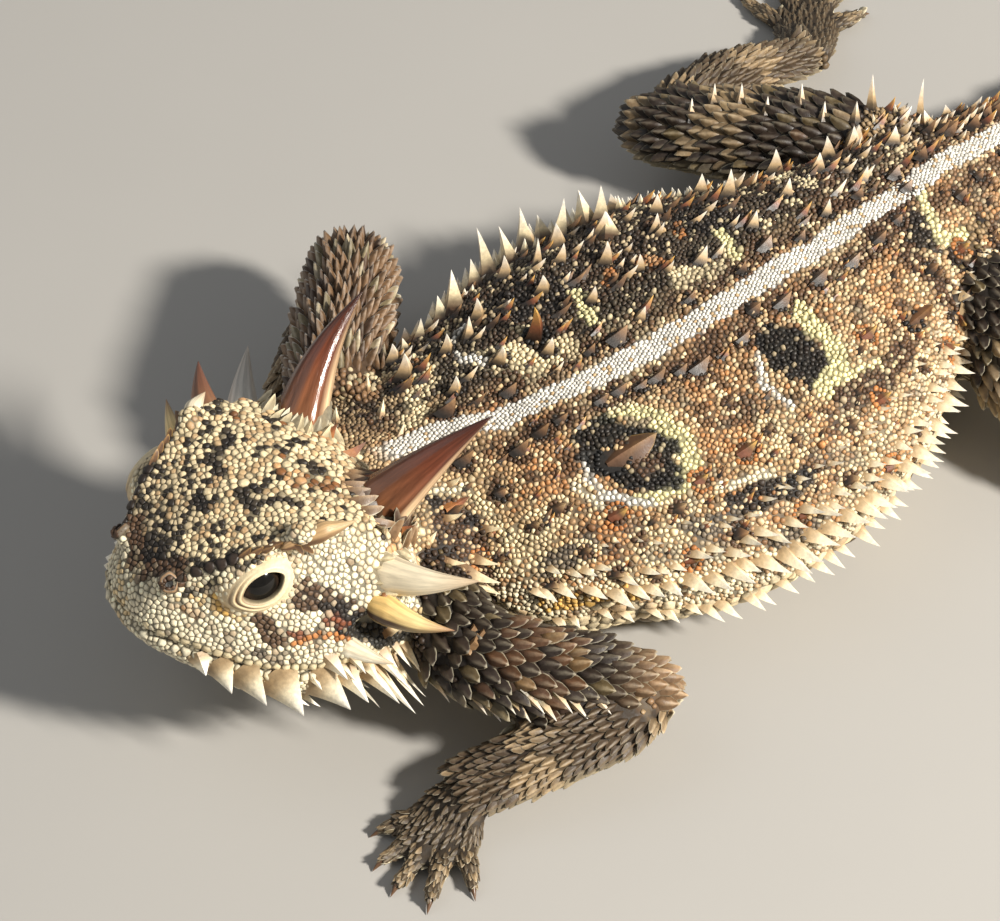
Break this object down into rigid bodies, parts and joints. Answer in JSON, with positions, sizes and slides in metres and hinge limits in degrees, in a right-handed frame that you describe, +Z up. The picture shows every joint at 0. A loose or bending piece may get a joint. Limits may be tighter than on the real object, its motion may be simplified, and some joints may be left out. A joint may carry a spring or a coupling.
{
  "type": "horned lizard",
  "caption": "Flat-bodied horned lizard lying alert with its head raised, crowned with horns, fringed with spines, its tail behind.",
  "frame": {"origin": "middle of the footprint at floor level", "axes": "+Y from head to tail, +X to the animal's left, +Z up"},
  "size_m": [0.0742, 0.121, 0.0228],
  "materials": {
    "skin_back": "dry granular scales",
    "skin_head": "dry convex scales",
    "skin_limb": "keeled overlapping scales",
    "horn": "polished red-brown horn",
    "horn_pale": "pale streaked horn",
    "eye": "wet gloss"
  },
  "bodies": {
    "root": {"eye_left": "eye", "eye_right": "eye", "foot_left": "skin_limb", "foot_right": "skin_limb", "forearm_left": "skin_limb", "forearm_right": "skin_limb", "hand_left": "skin_limb", "hand_right": "skin_limb", "head": "skin_head", "horn_brow_left": "horn_pale", "horn_brow_right": "horn_pale", "horn_occipital_left": "horn", "horn_occipital_right": "horn", "horn_temporal_lower_left": "horn_pale", "horn_temporal_lower_right": "horn_pale", "horn_temporal_small_left": "horn_pale", "horn_temporal_small_right": "horn_pale", "horn_temporal_upper_left": "horn_pale", "horn_temporal_upper_right": "horn_pale", "lower_jaw": "skin_head", "neck": "skin_back", "pelvis": "skin_back", "shank_left": "skin_limb", "shank_right": "skin_limb", "tail": "skin_back", "thigh_left": "skin_limb", "thigh_right": "skin_limb", "torso": "skin_back", "upper_arm_left": "skin_limb", "upper_arm_right": "skin_limb"}
  },
  "joints": []
}
